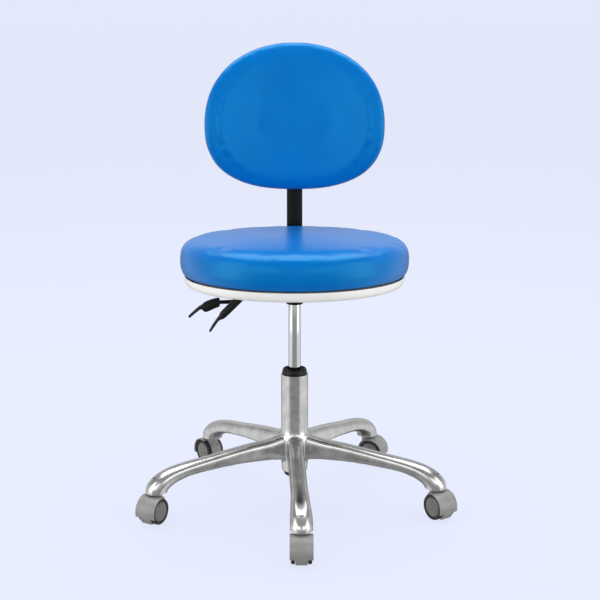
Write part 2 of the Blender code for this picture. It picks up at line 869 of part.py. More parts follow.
def make_backrest():
    middle = 0.02  # the share at which a face's last ring closes
    oval(
        "back_cushion",
        [
            (middle, -0.0308),
            (0.90, -0.0308),
            (0.95, -0.0330),
            (0.985, -0.0405),
            (1.00, -0.0500),
            (0.985, -0.0590),
            (0.94, -0.0655),
            (0.80, -0.0680),
            (0.50, -0.0695),
            (middle, -0.0700),
        ],
        "blue_vinyl",
    )
    shell = oval(
        "back_shell",
        [
            (middle, -0.0196),
            (0.86, -0.0196),
            (0.905, -0.0235),
            (0.915, -0.0300),
            (0.935, -0.0300),
            (0.930, -0.0225),
            (0.885, -0.0176),
            (middle, -0.0166),
        ],
        "white_abs",
    )
    board = oval(
        "back_board",
        [(middle, -0.0304), (0.85, -0.0304), (0.85, -0.0201), (middle, -0.0201)],
        "plywood",
    )
    low, high = (-0.024, -0.0130, -0.050), (0.024, 0.0100, 0.050)
    bracket = block("back_bracket", low, high, "black_plastic", back_frame, 0.002)
    low, high = (-0.046, -0.0160, -0.035), (0.046, -0.0120, 0.035)
    flange = block("bracket_flange", low, high, None, back_frame, 0.001)
    slot = block("bar_slot", (-0.0165, -0.0034, -0.06), (0.0165, 0.0034, 0.06), None, back_frame)
    stud_hole = rod("stud_hole", (0, 0.0, 0), (0, 0.02, 0), 0.0034, None, back_frame, 8)
    combine(bracket, flange, "UNION")
    combine(bracket, slot)
    combine(bracket, stud_hole)
    for number, side in ((1, -1), (2, 1)):
        x = side * SCREW_X
        hole = rod(f"screw_hole_{number}", (x, 0, 0), (x, -0.0285, 0), 0.0024, None, back_frame, 8)
        for piece in (bracket, shell, board):
            combine(piece, hole)
        profile = [
            (0, 0.0160),
            (0.0030, 0.0155),
            (0.0045, 0.0140),
            (0.0045, 0.0123),
            (0.0020, 0.0123),
            (0.0020, -0.0020),
            (0, -0.0020),
        ]
        screw = turned(f"bracket_screw_{number}", profile, "steel", back_frame, 8)
        screw.location = (x, -0.0240, 0)
        screw.rotation_euler = (radians(-90), 0, 0)
    knob_profile = [
        (0, 0.0300),
        (0.0150, 0.0300),
        (0.0185, 0.0275),
        (0.0190, 0.0240),
        (0.0175, 0.0140),
        (0.0090, 0.0105),
        (0.0030, 0.0105),
        (0.0030, 0.0036),
        (0, 0.0036),
    ]
    knob = turned("height_knob", knob_profile, "black_plastic", back_frame, 14)
    knob.rotation_euler = (radians(-90), 0, 0)


make_backrest()
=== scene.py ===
import json
from math import cos, pi, radians, sin

import bmesh
import bpy
from mathutils import Matrix, Vector


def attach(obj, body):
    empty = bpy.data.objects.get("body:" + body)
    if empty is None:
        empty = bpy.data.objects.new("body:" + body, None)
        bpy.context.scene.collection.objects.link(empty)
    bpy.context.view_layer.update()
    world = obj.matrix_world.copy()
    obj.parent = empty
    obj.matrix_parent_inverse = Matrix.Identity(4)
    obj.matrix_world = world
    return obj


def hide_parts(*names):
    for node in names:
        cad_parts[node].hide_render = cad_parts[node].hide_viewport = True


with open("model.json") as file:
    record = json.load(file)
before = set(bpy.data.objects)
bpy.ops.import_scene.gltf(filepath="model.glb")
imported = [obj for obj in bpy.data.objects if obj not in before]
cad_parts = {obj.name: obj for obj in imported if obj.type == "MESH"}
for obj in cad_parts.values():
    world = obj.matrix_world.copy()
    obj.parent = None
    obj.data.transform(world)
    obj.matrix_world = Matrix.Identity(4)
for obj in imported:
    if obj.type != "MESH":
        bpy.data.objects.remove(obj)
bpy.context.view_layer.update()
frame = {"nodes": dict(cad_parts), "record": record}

bodyOf = {node: body for body, nodes in frame["record"]["behaviour"]["bodies"].items() for node in nodes}


# small helpers for working the way one does in the viewport


def rest():
    if bpy.context.object and bpy.context.object.mode != "OBJECT":
        bpy.ops.object.mode_set(mode="OBJECT")
    bpy.ops.object.select_all(action="DESELECT")


def only(piece):
    rest()
    piece.select_set(True)
    bpy.context.view_layer.objects.active = piece
    return piece


def edit(piece):
    only(piece)
    bpy.ops.object.mode_set(mode="EDIT")
    bpy.ops.mesh.select_mode(type="VERT")
    bpy.ops.mesh.select_all(action="SELECT")


def pick(test, kind="FACE"):
    # leaves selected only what passes the test, given its middle and its normal
    bpy.ops.mesh.select_mode(type=kind)
    bpy.ops.mesh.select_all(action="DESELECT")
    grid = bmesh.from_edit_mesh(bpy.context.object.data)
    for part in {"FACE": grid.faces, "EDGE": grid.edges, "VERT": grid.verts}[kind]:
        corners = [part] if kind == "VERT" else part.verts
        middle = sum((corner.co for corner in corners), Vector()) / len(corners)
        direction = part.normal if kind != "EDGE" else (part.verts[1].co - part.verts[0].co).normalized()
        part.select_set(bool(test(middle, direction)))
    grid.select_flush_mode()
    bmesh.update_edit_mesh(bpy.context.object.data)


def modify(piece, kind, **settings):
    only(piece)
    made = piece.modifiers.new(kind.title(), kind)
    for key, value in settings.items():
        setattr(made, key, value)
    bpy.ops.object.modifier_apply(modifier=made.name)
    return piece


def cut(piece, *tools, operation="DIFFERENCE"):
    for tool in tools:
        modify(piece, "BOOLEAN", operation=operation, object=tool, solver="EXACT")
        bpy.data.objects.remove(tool)
    return piece


def softEdges(piece, width, segments=3, angle=32):
    modify(piece, "BEVEL", width=width, segments=segments, limit_method="ANGLE", angle_limit=radians(angle))
    return piece


def place(piece, matrix=Matrix.Identity(4)):
    only(piece)
    bpy.context.view_layer.update()
    piece.matrix_world = matrix @ piece.matrix_world
    bpy.ops.object.transform_apply(location=True, rotation=True, scale=True)
    return piece


def copied(piece, name, matrix):
    only(piece)
    bpy.ops.object.duplicate(linked=False)
    bpy.context.object.name = name
    return place(bpy.context.object, matrix)


def block(name, low, high):
    rest()
    low, high = Vector(low), Vector(high)
    bpy.ops.mesh.primitive_cube_add(size=1, location=(low + high) / 2)
    bpy.context.object.name = name
    bpy.context.object.scale = high - low
    return place(bpy.context.object)


def drum(name, start, end, radius, sides=48):
    rest()
    start, end = Vector(start), Vector(end)
    turn = (end - start).to_track_quat("Z", "Y").to_euler()
    bpy.ops.mesh.primitive_cylinder_add(
        vertices=sides, radius=radius, depth=(end - start).length, location=(start + end) / 2, rotation=turn
    )
    bpy.context.object.name = name
    return place(bpy.context.object)


def turned(name, outline, steps=64):
    # half an outline drawn point by point, then spun about Z
    rest()
    bpy.ops.mesh.primitive_plane_add(size=0.001)
    piece = bpy.context.object
    piece.name = name
    edit(piece)
    bpy.ops.mesh.merge(type="CENTER")
    last = Vector()
    for number, (radius, height) in enumerate(outline):
        step = Vector((radius, 0, height)) - last
        last += step
        if number:
            bpy.ops.mesh.extrude_region_move(TRANSFORM_OT_translate={"value": step})
        else:
            bpy.ops.transform.translate(value=step)
    bpy.ops.mesh.select_all(action="SELECT")
    bpy.ops.mesh.spin(steps=steps, angle=2 * pi, center=(0, 0, 0), axis=(0, 0, 1))
    bpy.ops.mesh.select_all(action="SELECT")
    bpy.ops.mesh.remove_doubles(threshold=0.00002)
    bpy.ops.mesh.normals_make_consistent(inside=False)
    rest()
    return piece


def lofted(name, rings):
    # a grid bent round so that its rows follow the rings, closed at both ends
    rest()
    across = len(rings[0])
    bpy.ops.mesh.primitive_grid_add(x_subdivisions=across, y_subdivisions=len(rings) - 1, size=1)
    piece = bpy.context.object
    piece.name = name
    for vert in piece.data.vertices:
        row, column = divmod(vert.index, across + 1)
        vert.co = rings[row][column % across]
    edit(piece)
    bpy.ops.mesh.remove_doubles(threshold=0.00001)
    bpy.ops.mesh.select_all(action="SELECT")
    bpy.ops.mesh.fill_holes(sides=0)
    bpy.ops.mesh.select_all(action="SELECT")
    bpy.ops.mesh.normals_make_consistent(inside=False)
    rest()
    return piece


def rodThrough(name, points, radius):
    rest()
    line = bpy.data.curves.new(name, "CURVE")
    line.dimensions, line.bevel_depth, line.bevel_resolution, line.use_fill_caps = "3D", radius, 5, True
    path = line.splines.new("NURBS")
    path.points.add(len(points) - 1)
    for point, spot in zip(path.points, points):
        point.co = (*spot, 1)
    path.order_u, path.use_endpoint_u, path.resolution_u = 3, True, 8
    piece = bpy.data.objects.new(name, line)
    bpy.context.collection.objects.link(piece)
    only(piece)
    bpy.ops.object.convert(target="MESH")
    edit(piece)
    bpy.ops.mesh.remove_doubles(threshold=0.00001)
    bpy.ops.mesh.normals_make_consistent(inside=False)
    rest()
    return piece


def eased(stations, steps):
    # in-between stations on a smooth curve through the given ones
    made = []
    for number in range(len(stations) - 1):
        four = [stations[min(max(number + k, 0), len(stations) - 1)] for k in (-1, 0, 1, 2)]
        for step in range(steps):
            t = step / steps
            made.append(
                tuple(
                    0.5 * (2 * b + (c - a) * t + (2 * a - 5 * b + 4 * c - d) * t**2 + (3 * b - a - 3 * c + d) * t**3)
                    for a, b, c, d in zip(*four)
                )
            )
    return made + [tuple(stations[-1])]


def rounded(count, power):
    # a unit ring between a circle at power 2 and a square
    for number in range(count):
        angle = 2 * pi * (number + 0.5) / count
        c, s = cos(angle), sin(angle)
        size = (abs(c) ** power + abs(s) ** power) ** (-1 / power)
        yield c * size, s * size


def settle(piece, finish, slot, *nodes, smooth=32):
    only(piece)
    bpy.ops.object.shade_smooth_by_angle(angle=radians(smooth))
    piece.data.materials.clear()
    piece.data.materials.append(finish)
    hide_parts(*nodes)
    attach(piece, bodyOf[nodes[0]])
    return piece


# where the main parts stand

column = {"x": -0.0048, "y": 0.0100}
seatFrame = {"height": 0.445, "tilt": 3.0}
columnPlace = Matrix.Translation((column["x"], column["y"], 0))
seatLean = Matrix.Rotation(radians(-seatFrame["tilt"]), 4, "X")
seatPlace = columnPlace @ Matrix.Translation((0, 0, seatFrame["height"])) @ seatLean


# finishes


def shade(hexText):
    values = [int(hexText[k : k + 2], 16) / 255 for k in (0, 2, 4)]
    return (*(v / 12.92 if v <= 0.04045 else ((v + 0.055) / 1.055) ** 2.4 for v in values), 1)


def add(tree, kind, settings=None, links=None):
    made = tree.nodes.new("ShaderNode" + kind)
    for key, value in (settings or {}).items():
        if isinstance(key, str) and key in made.bl_rna.properties:
            setattr(made, key, value)
        else:
            made.inputs[key].default_value = value
    for key, source in (links or {}).items():
        tree.links.new(source, made.inputs[key])
    return made


def finishOf(name, look):
    # two close tones in soft patches, a roughness that varies with them, and a fine relief
    finish = bpy.data.materials.new(name)
    finish.use_nodes = True
    tree = finish.node_tree
    shader = tree.nodes["Principled BSDF"]
    spot = add(tree, "TexCoord").outputs["Object"]
    if "stretch" in look:
        spot = add(tree, "Mapping", {"Scale": look["stretch"]}, {"Vector": spot}).outputs["Vector"]
    # pattern sizes are in millimetres, and noise has about one patch per unit of its scale
    patches = add(
        tree, "TexNoise", {"Scale": 1000 / look["patch"], "Detail": 3, "Roughness": 0.55}, {"Vector": spot}
    )
    share = add(tree, "MapRange", {1: 0.32, 2: 0.68}, {0: patches.outputs["Fac"]})
    tones = {"data_type": "RGBA", 6: shade(look["deep"]), 7: shade(look["light"])}
    tint = add(tree, "Mix", tones, {0: share.outputs[0]})
    low, high = look["roughness"]
    dull = add(tree, "MapRange", {1: 0.25, 2: 0.75, 3: low, 4: high}, {0: patches.outputs["Fac"]})
    if look.get("cells"):
        grain = add(tree, "TexVoronoi", {"Scale": 1000 / look["grain"], "feature": "SMOOTH_F1"}, {"Vector": spot})
    else:
        grain = add(tree, "TexNoise", {"Scale": 1000 / look["grain"], "Detail": 4}, {"Vector": spot})
    relief = add(tree, "Bump", {"Strength": 0.5, "Distance": look["depth"] / 1000}, {"Height": grain.outputs[0]})
    if "wave" in look:
        swell = add(tree, "TexNoise", {"Scale": 1000 / look["wave"], "Detail": 1}, {"Vector": spot})
        relief = add(
            tree,
            "Bump",
            {"Strength": 0.5, "Distance": look["waveDepth"] / 1000},
            {"Height": swell.outputs[0], "Normal": relief.outputs[0]},
        )
    tree.links.new(tint.outputs[2], shader.inputs["Base Color"])
    tree.links.new(dull.outputs[0], shader.inputs["Roughness"])
    tree.links.new(relief.outputs[0], shader.inputs["Normal"])
    for key, value in look.get("shader", {}).items():
        shader.inputs[key].default_value = value
    return finish


# calendered PVC upholstery vinyl: deep blue, a soft gloss that spreads into pale sheets, fine hide grain
vinyl = finishOf(
    "embossedVinyl",
    {
        "deep": "0067ba",
        "light": "006dc0",
        "patch": 60,
        "roughness": (0.27, 0.34),
        "cells": True,
        "grain": 1.3,  # real grain is 0.6 mm, drawn coarser so that it shows
        "depth": 0.03,
        "wave": 45,
        "waveDepth": 0.15,
        "shader": {"IOR": 1.5, "Specular IOR Level": 0.5, "Specular Tint": (0.12, 0.95, 0.95, 1.0)},
    },
)
# injection-moulded ABS, slightly warm white with a satin tool finish
shellAbs = finishOf(
    "mouldedAbs",
    {
        "deep": "f3f3f0",
        "light": "fafaf7",
        "patch": 80,
        "roughness": (0.28, 0.36),
        "grain": 0.9,
        "depth": 0.02,
        "shader": {"IOR": 1.54},
    },
)
# die-cast aluminium, mechanically polished: bright, with faint lines left by the mop
castAluminium = finishOf(
    "polishedCastAluminium",
    {
        "deep": "b9bab9",
        "light": "d2d2d0",
        "patch": 26,
        "roughness": (0.19, 0.27),
        "grain": 1.1,
        "depth": 0.006,
        "wave": 22,
        "waveDepth": 0.10,
        "shader": {"Metallic": 1.0},
    },
)
# chromium plate over drawn steel tube, with a trace of wiping marks along its length
chrome = finishOf(
    "chromePlate",
    {
        "deep": "c9cacc",
        "light": "dcdddf",
        "patch": 9,
        "stretch": (1, 1, 0.12),
        "roughness": (0.06, 0.12),
        "grain": 1.5,
        "depth": 0.004,
        "shader": {"Metallic": 1.0},
    },
)
# zinc-plated steel, as on screws and pins: greyer, a little cloudy
zincSteel = finishOf(
    "zincPlatedSteel",
    {
        "deep": "9fa3a3",
        "light": "bfc2c1",
        "patch": 4,
        "roughness": (0.24, 0.38),
        "grain": 0.5,
        "depth": 0.01,
        "shader": {"Metallic": 1.0},
    },
)
# black gloss powder coat on steel strip, with the faint orange peel such paint dries to
powderBlack = finishOf(
    "blackPowderCoat",
    {
        "deep": "030304",
        "light": "060607",
        "patch": 30,
        "roughness": (0.26, 0.34),
        "grain": 2.2,
        "depth": 0.02,
        "shader": {"IOR": 1.45, "Specular IOR Level": 0.2},
    },
)
# glass-filled nylon in black, spark-eroded tool finish
blackNylon = finishOf(
    "blackMouldedNylon",
    {
        "deep": "050506",
        "light": "0a0a0b",
        "patch": 12,
        "roughness": (0.36, 0.5),
        "grain": 0.7,
        "depth": 0.05,
        "shader": {"IOR": 1.53, "Specular IOR Level": 0.25},
    },
)
# mid-grey nylon of the caster bodies, satin
greyNylon = finishOf(
    "greyMouldedNylon",
    {
        "deep": "858583",
        "light": "939391",
        "patch": 14,
        "roughness": (0.34, 0.44),
        "grain": 0.7,
        "depth": 0.03,
        "shader": {"IOR": 1.53},
    },
)
# a darker grey nylon for the wheel discs
discNylon = finishOf(
    "greyWheelNylon",
    {
        "deep": "62625f",
        "light": "72726f",
        "patch": 6,
        "roughness": (0.32, 0.46),
        "grain": 0.6,
        "depth": 0.03,
        "shader": {"IOR": 1.53},
    },
)
# moulded polyurethane tyre, nearly black and dull from the floor
tyre = finishOf(
    "blackPolyurethane",
    {
        "deep": "0c0c0c",
        "light": "1c1b1a",
        "patch": 5,
        "roughness": (0.5, 0.72),
        "grain": 0.8,
        "depth": 0.06,
        "shader": {"IOR": 1.5},
    },
)
# rubber damper
rubber = finishOf(
    "blackRubber",
    {"deep": "0d0d0d", "light": "171716", "patch": 5, "roughness": (0.6, 0.8), "grain": 0.5, "depth": 0.05},
)
# spring and rod steel, oiled
oiledSteel = finishOf(
    "oiledSteel",
    {
        "deep": "6f7173",
        "light": "8c8e90",
        "patch": 6,
        "stretch": (1, 1, 0.2),
        "roughness": (0.2, 0.34),
        "grain": 0.4,
        "depth": 0.01,
        "shader": {"Metallic": 1.0},
    },
)


def plywoodFinish():
    # birch plywood: plies 1.5 mm thick across the edge, long pale grain on the faces
    finish = bpy.data.materials.new("birchPlywood")
    finish.use_nodes = True
    tree = finish.node_tree
    shader = tree.nodes["Principled BSDF"]
    spot = add(tree, "TexCoord").outputs["Object"]
    along = add(tree, "Mapping", {"Scale": (60, 4, 330)}, {"Vector": spot})
    grain = add(tree, "TexNoise", {"Scale": 1.0, "Detail": 6, "Roughness": 0.6}, {"Vector": along.outputs[0]})
    tint = add(
        tree, "Mix", {"data_type": "RGBA", 6: shade("a97b48"), 7: shade("e0c08c")}, {0: grain.outputs["Fac"]}
    )
    relief = add(tree, "Bump", {"Strength": 0.4, "Distance": 0.0001}, {"Height": grain.outputs["Fac"]})
    tree.links.new(tint.outputs[2], shader.inputs["Base Color"])
    tree.links.new(relief.outputs[0], shader.inputs["Normal"])
    shader.inputs["Roughness"].default_value = 0.62
    return finish


plywood = plywoodFinish()
print("finishes ready")


# star base: one casting, five gooseneck arms open underneath

starBase = {
    "yaw": 2.5,
    "armStep": 72,
    "stemCircle": 0.280,
    "sleeveBore": 0.0213,
    "sleeveTop": 0.263,
    "roof": 0.0065,  # metal left above the channel under an arm
    "channelHalfWidth": 0.0118,
    "voxel": 0.0018,
    # radius, foot, top
    "ribs": ((0.085, 0.1000, 0.1240), (0.125, 0.0985, 0.1180), (0.165, 0.0945, 0.1115)),
    # top radius, top z, under radius, under z, half width, squareness, taper of the top
    "stations": [
        (0.0080, 0.1460, 0.0080, 0.0860, 0.0165, 4.4, 0.14),
        (0.0360, 0.1385, 0.0360, 0.0925, 0.0170, 4.4, 0.14),
        (0.0600, 0.1330, 0.0600, 0.0948, 0.0170, 4.4, 0.14),
        (0.1000, 0.1280, 0.1000, 0.0955, 0.0170, 4.4, 0.14),
        (0.1400, 0.1215, 0.1400, 0.0937, 0.0170, 4.2, 0.14),
        (0.1780, 0.1150, 0.1760, 0.0898, 0.0170, 3.6, 0.14),
        (0.2080, 0.1107, 0.2020, 0.0860, 0.0173, 3.0, 0.12),
        (0.2340, 0.1062, 0.2220, 0.0815, 0.0180, 2.6, 0.08),
        (0.2590, 0.0996, 0.2390, 0.0750, 0.0190, 2.3, 0.04),
        (0.2800, 0.0895, 0.2505, 0.0680, 0.0202, 2.1, 0.00),
        (0.2940, 0.0765, 0.2570, 0.0620, 0.0208, 2.0, 0.00),
        (0.2992, 0.0670, 0.2588, 0.0595, 0.0208, 2.0, 0.00),
        (0.3008, 0.0580, 0.2592, 0.0580, 0.0208, 2.0, 0.00),
        (0.3008, 0.0490, 0.2592, 0.0490, 0.0208, 2.0, 0.00),
    ],
    "footCut": 0.0578,  # the arms' ends are sawn flat here
    "hub": [
        (0.0, 0.2700),
        (0.0262, 0.2700),
        (0.0262, 0.1520),
        (0.0267, 0.1470),
        (0.0280, 0.1420),
        (0.0290, 0.1370),
        (0.0295, 0.1320),
        (0.0298, 0.1240),
        (0.0298, 0.1040),
        (0.0284, 0.0940),
        (0.0262, 0.0840),
        (0.0248, 0.0670),
        (0.0240, 0.0660),
        (0.0, 0.0660),
    ],
}


def armRing(station, count=32):
    topRadius, topZ, underRadius, underZ, halfWidth, power, taper = station
    middle = Vector((0, -(topRadius + underRadius) / 2, (topZ + underZ) / 2))
    half = Vector((0, -(topRadius - underRadius) / 2, (topZ - underZ) / 2))
    return [
        middle + half * up + Vector((halfWidth * across * (1 - taper * (up + 1) / 2), 0, 0))
        for across, up in rounded(count, power)
    ]


def makeStarBase():
    s = starBase
    hollow = [
        (a - 0.004, b - s["roof"], c - 0.004, d - 0.020, s["channelHalfWidth"], 4.0, g)
        for a, b, c, d, e, f, g in s["stations"][1:8]
    ]
    arm = lofted("arm", [armRing(station) for station in eased(s["stations"], 5)])
    channel = lofted("channel", [armRing(station, 24) for station in eased(hollow, 4)])
    cut(arm, channel)
    for radius, foot, top in s["ribs"]:
        rib = block("rib", (-0.013, -radius - 0.0016, foot), (0.013, -radius + 0.0016, top))
        cut(arm, rib, operation="UNION")
    turns = [Matrix.Rotation(radians(s["yaw"] + s["armStep"] * number), 4, "Z") for number in range(5)]
    spokes = [copied(arm, f"arm{number}", turn) for number, turn in enumerate(turns)]
    base = only(turned("starBaseCasting", s["hub"], 72))
    for spoke in spokes:
        spoke.select_set(True)
    bpy.ops.object.join()  # the remesh below melts the overlapping bodies into one casting
    bpy.data.objects.remove(arm)
    modify(base, "REMESH", mode="VOXEL", voxel_size=s["voxel"], use_smooth_shade=True)
    modify(base, "SMOOTH", factor=0.5, iterations=8)
    bores = [block("sleeveTop", (-0.05, -0.05, s["sleeveTop"]), (0.05, 0.05, 0.30))]
    bores.append(block("footTrim", (-0.35, -0.35, 0.02), (0.35, 0.35, s["footCut"])))
    bores.append(drum("sleeveBore", (0, 0, 0.05), (0, 0, 0.30), s["sleeveBore"], 64))
    for turn in turns:
        foot, head = (turn @ Vector((0, -s["stemCircle"], z)) for z in (0.048, 0.0865))
        bores.append(drum("stemBore", foot, head, 0.0060, 24))
    cut(base, *bores)
    place(base, columnPlace)
    settle(base, castAluminium, "polished_aluminium", "star_base", smooth=50)


makeStarBase()
print("star base cast")


# casters: grey hood over twin wheels, black tyres

caster = {
    "places": {"front": (0, 0), "right": (1, 35), "rear_right": (2, 66), "rear_left": (3, -143), "left": (4, -30)},
    "wheelRadius": 0.025,
    "trail": 0.012,
    "hoodRadius": 0.0285,
    "halfWidth": 0.0210,
    "webHalfWidth": 0.0109,
}


def makeHood():
    y, z, web, half = -caster["trail"], caster["wheelRadius"], caster["webHalfWidth"], caster["halfWidth"]
    hood = drum("hood", (-half, y, z), (half, y, z), caster["hoodRadius"], 64)
    edit(hood)
    pick(lambda middle, normal: abs(normal.x) > 0.9)
    bpy.ops.mesh.inset(thickness=0.0002)
    rest()
    softEdges(hood, 0.0016, 3, 60)
    tools = []
    for side in (-1, 1):
        inner, outer = side * web, side * (half + 0.01)
        low, high = min(inner, outer), max(inner, outer)
        tools.append(drum("pocket", (inner, y, z), (outer, y, z), caster["wheelRadius"] + 0.0014, 64))
        tools.append(block("leadingSide", (low, y + 0.002, -0.01), (high, y + 0.040, z + 0.026)))
        tools.append(block("trailingFoot", (low, y - 0.040, -0.01), (high, y + 0.040, 0.0170)))
    tools.append(block("underside", (-0.03, y - 0.04, -0.01), (0.03, y + 0.04, 0.0040)))
    cut(hood, *tools)
    cut(hood, drum("boss", (0, 0, 0.030), (0, 0, 0.0545), 0.0110, 40), operation="UNION")
    stemHole = drum("stemHole", (0, 0, 0.033), (0, 0, 0.060), 0.0060, 24)
    cut(hood, stemHole, drum("axleBore", (-0.03, y, z), (0.03, y, z), 0.0034, 24))
    softEdges(hood, 0.0005, 2, 40)
    return hood


def makeDisc():
    return turned(
        "wheelDisc",
        [
            (0.0, 0.0092),
            (0.0035, 0.0091),
            (0.0060, 0.0088),
            (0.0066, 0.0084),
            (0.0072, 0.0086),
            (0.0110, 0.0083),
            (0.0150, 0.0076),
            (0.0180, 0.0068),
            (0.0190, 0.0060),
            (0.0193, 0.0048),
            (0.0193, 0.0006),
            (0.0034, 0.0006),
            (0.0034, 0.0062),
            (0.0, 0.0062),
        ],
        56,
    )


def makeTyre():
    return turned(
        "wheelTyre",
        [
            (0.0193, 0.0062),
            (0.0200, 0.0070),
            (0.0228, 0.0072),
            (0.0243, 0.0067),
            (0.0249, 0.0058),
            (0.0250, 0.0050),
            (0.0250, 0.0014),
            (0.0246, 0.0004),
            (0.0238, 0.0),
            (0.0193, 0.0),
            (0.0193, 0.0062),
        ],
        72,
    )


def makeStem():
    return turned(
        "casterStem",
        [
            (0.0, 0.0850),
            (0.0046, 0.0850),
            (0.0054, 0.0842),
            (0.0054, 0.0790),
            (0.0056, 0.0788),
            (0.0056, 0.0764),
            (0.0054, 0.0762),
            (0.0054, 0.0572),
            (0.0096, 0.0572),
            (0.0100, 0.0568),
            (0.0100, 0.0554),
            (0.0096, 0.0550),
            (0.0055, 0.0550),
            (0.0055, 0.0336),
            (0.0, 0.0336),
        ],
        32,
    )


def makeAxle():
    axle = drum("casterAxle", (-0.0170, 0, 0), (0.0170, 0, 0), 0.0030, 24)
    return softEdges(axle, 0.0005, 2, 40)


def makeCasters():
    patterns = {"hood": makeHood(), "disc": makeDisc(), "tyre": makeTyre(), "stem": makeStem(), "axle": makeAxle()}
    for name, (arm, trail) in caster["places"].items():
        angle = radians(starBase["yaw"] + starBase["armStep"] * arm)
        stemSpot = Vector((sin(angle), -cos(angle), 0)) * starBase["stemCircle"]
        swivel = columnPlace @ Matrix.Translation(stemSpot) @ Matrix.Rotation(radians(trail), 4, "Z")
        axis = swivel @ Matrix.Translation((0, -caster["trail"], caster["wheelRadius"]))
        node = f"caster_{name}"
        settle(copied(patterns["hood"], f"{name}Hood", swivel), greyNylon, "grey_nylon", f"{node}_hood")
        settle(copied(patterns["stem"], f"{name}Stem", swivel), zincSteel, "steel", f"{node}_stem")
        settle(copied(patterns["axle"], f"{name}Axle", axis), zincSteel, "steel", f"{node}_axle")
        for side, sign in (("right", 1), ("left", -1)):
            wheel = axis @ Matrix.Translation((0.0115 * sign, 0, 0)) @ Matrix.Rotation(radians(90 * sign), 4, "Y")
            wheelNode = f"{node}_wheel_{side}"
            settle(copied(patterns["disc"], f"{name}Disc{side.title()}", wheel), discNylon, "grey_nylon", wheelNode)
            settle(copied(patterns["tyre"], f"{name}Tyre{side.title()}", wheel), tyre, "rubber", wheelNode)
    for pattern in patterns.values():
        bpy.data.objects.remove(pattern)


makeCasters()
print("casters fitted")


# gas lift


def makeGasLift():
    collar = turned(
        "guideCollar",
        [
            (0.0124, 0.2700),
            (0.0180, 0.2704),
            (0.0200, 0.2728),
            (0.0212, 0.2735),
            (0.0222, 0.2730),
            (0.0230, 0.2715),
            (0.0240, 0.2660),
            (0.0240, 0.2636),
            (0.0236, 0.2631),
            (0.0182, 0.2628),
            (0.0182, 0.2030),
            (0.0124, 0.2030),
            (0.0124, 0.2700),
        ],
    )
    settle(place(collar, columnPlace), blackNylon, "black_plastic", "gas_guide_collar")
    cylinder = turned(
        "liftCylinder",
        [
            (0.0, 0.4255),
            (0.0098, 0.4255),
            (0.0104, 0.4249),
            (0.0112, 0.4030),
            (0.0120, 0.4000),
            (0.0120, 0.2100),
            (0.0112, 0.2080),
            (0.0, 0.2080),
        ],
    )
    hollow = drum("pistonHollow", (0, 0, 0.15), (0, 0, 0.395), 0.0104, 48)
    cut(cylinder, hollow)
    settle(place(cylinder, columnPlace), chrome, "chrome", "gas_cylinder")
    socket = turned(
        "coneSocket",
        [
            (0.0122, 0.4020),
            (0.0156, 0.4020),
            (0.0160, 0.4024),
            (0.0165, 0.4050),
            (0.0172, 0.4100),
            (0.0185, 0.4180),
            (0.0185, 0.4270),
            (0.0180, 0.4275),
            (0.0107, 0.4275),
            (0.0114, 0.4040),
            (0.0122, 0.4020),
        ],
    )
    settle(place(socket, columnPlace), powderBlack, "black_steel", "cone_socket")


makeGasLift()
print("gas lift built")


# levers: bent rods with moulded paddle grips

levers = {
    "pivotX": -0.0350,
    "pivotW": -0.0105,
    "reclineV": -0.055,
    "rodRadius": 0.0038,
    "heightRod": [
        (0.041, 0),
        (-0.008, 0),
        (-0.016, -0.0010),
        (-0.026, -0.0055),
        (-0.050, -0.0155),
        (-0.068, -0.0240),
        (-0.078, -0.0280),
        (-0.090, -0.0292),
        (-0.125, -0.0302),
    ],
    "reclineRod": [
        (0.055, 0),
        (-0.026, 0),
        (-0.046, -0.0022),
        (-0.056, -0.0040),
        (-0.063, -0.0082),
        (-0.082, -0.0266),
    ],
    # x, w, half depth, half width, slope
    "heightGrip": [
        (-0.1080, -0.0295, 0.0080, 0.0085, -2),
        (-0.1110, -0.0300, 0.0090, 0.0095, -8),
        (-0.1210, -0.0330, 0.0095, 0.0105, -18),
        (-0.1325, -0.0380, 0.0097, 0.0110, -24),
        (-0.1395, -0.0415, 0.0075, 0.0112, -27),
        (-0.1450, -0.0400, 0.0034, 0.0112, -34),
        (-0.1560, -0.0485, 0.0028, 0.0105, -40),
        (-0.1665, -0.0580, 0.0024, 0.0085, -45),
    ],
    "reclineGrip": [
        (-0.0620, -0.0068, 0.0066, 0.0080, -44),
        (-0.0652, -0.0100, 0.0072, 0.0090, -45),
        (-0.0820, -0.0266, 0.0074, 0.0100, -45),
        (-0.0985, -0.0430, 0.0070, 0.0105, -45),
        (-0.1030, -0.0480, 0.0048, 0.0105, -46),
        (-0.1085, -0.0522, 0.0030, 0.0105, -49),
        (-0.1165, -0.0635, 0.0027, 0.0095, -54),
        (-0.1235, -0.0745, 0.0022, 0.0080, -56),
    ],
}


def gripRing(station, count=20):
    x, w, halfDepth, halfWidth, slope = station
    down = Vector((sin(radians(slope)), 0, cos(radians(slope))))
    return [
        Vector((x, 0, w)) + down * (halfDepth * up) + Vector((0, halfWidth * across, 0))
        for across, up in rounded(count, 2.6)
    ]


def makeLevers():
    for word, v in (("height", 0), ("recline", levers["reclineV"])):
        pivot = seatPlace @ Matrix.Translation((levers["pivotX"], v, levers["pivotW"]))
        rod = rodThrough(f"{word}LeverRod", [(x, 0, w) for x, w in levers[f"{word}Rod"]], levers["rodRadius"])
        settle(place(rod, pivot), powderBlack, "black_steel", f"{word}_lever_rod")
        grip = lofted(f"{word}LeverGrip", [gripRing(station) for station in eased(levers[f"{word}Grip"], 3)])
        softEdges(grip, 0.0010, 3, 50)
        settle(place(grip, pivot), blackNylon, "black_plastic", f"{word}_lever_grip", smooth=45)


makeLevers()
print("levers fitted")


# upright bar: flat strip bent once, with a barrel at its pivot

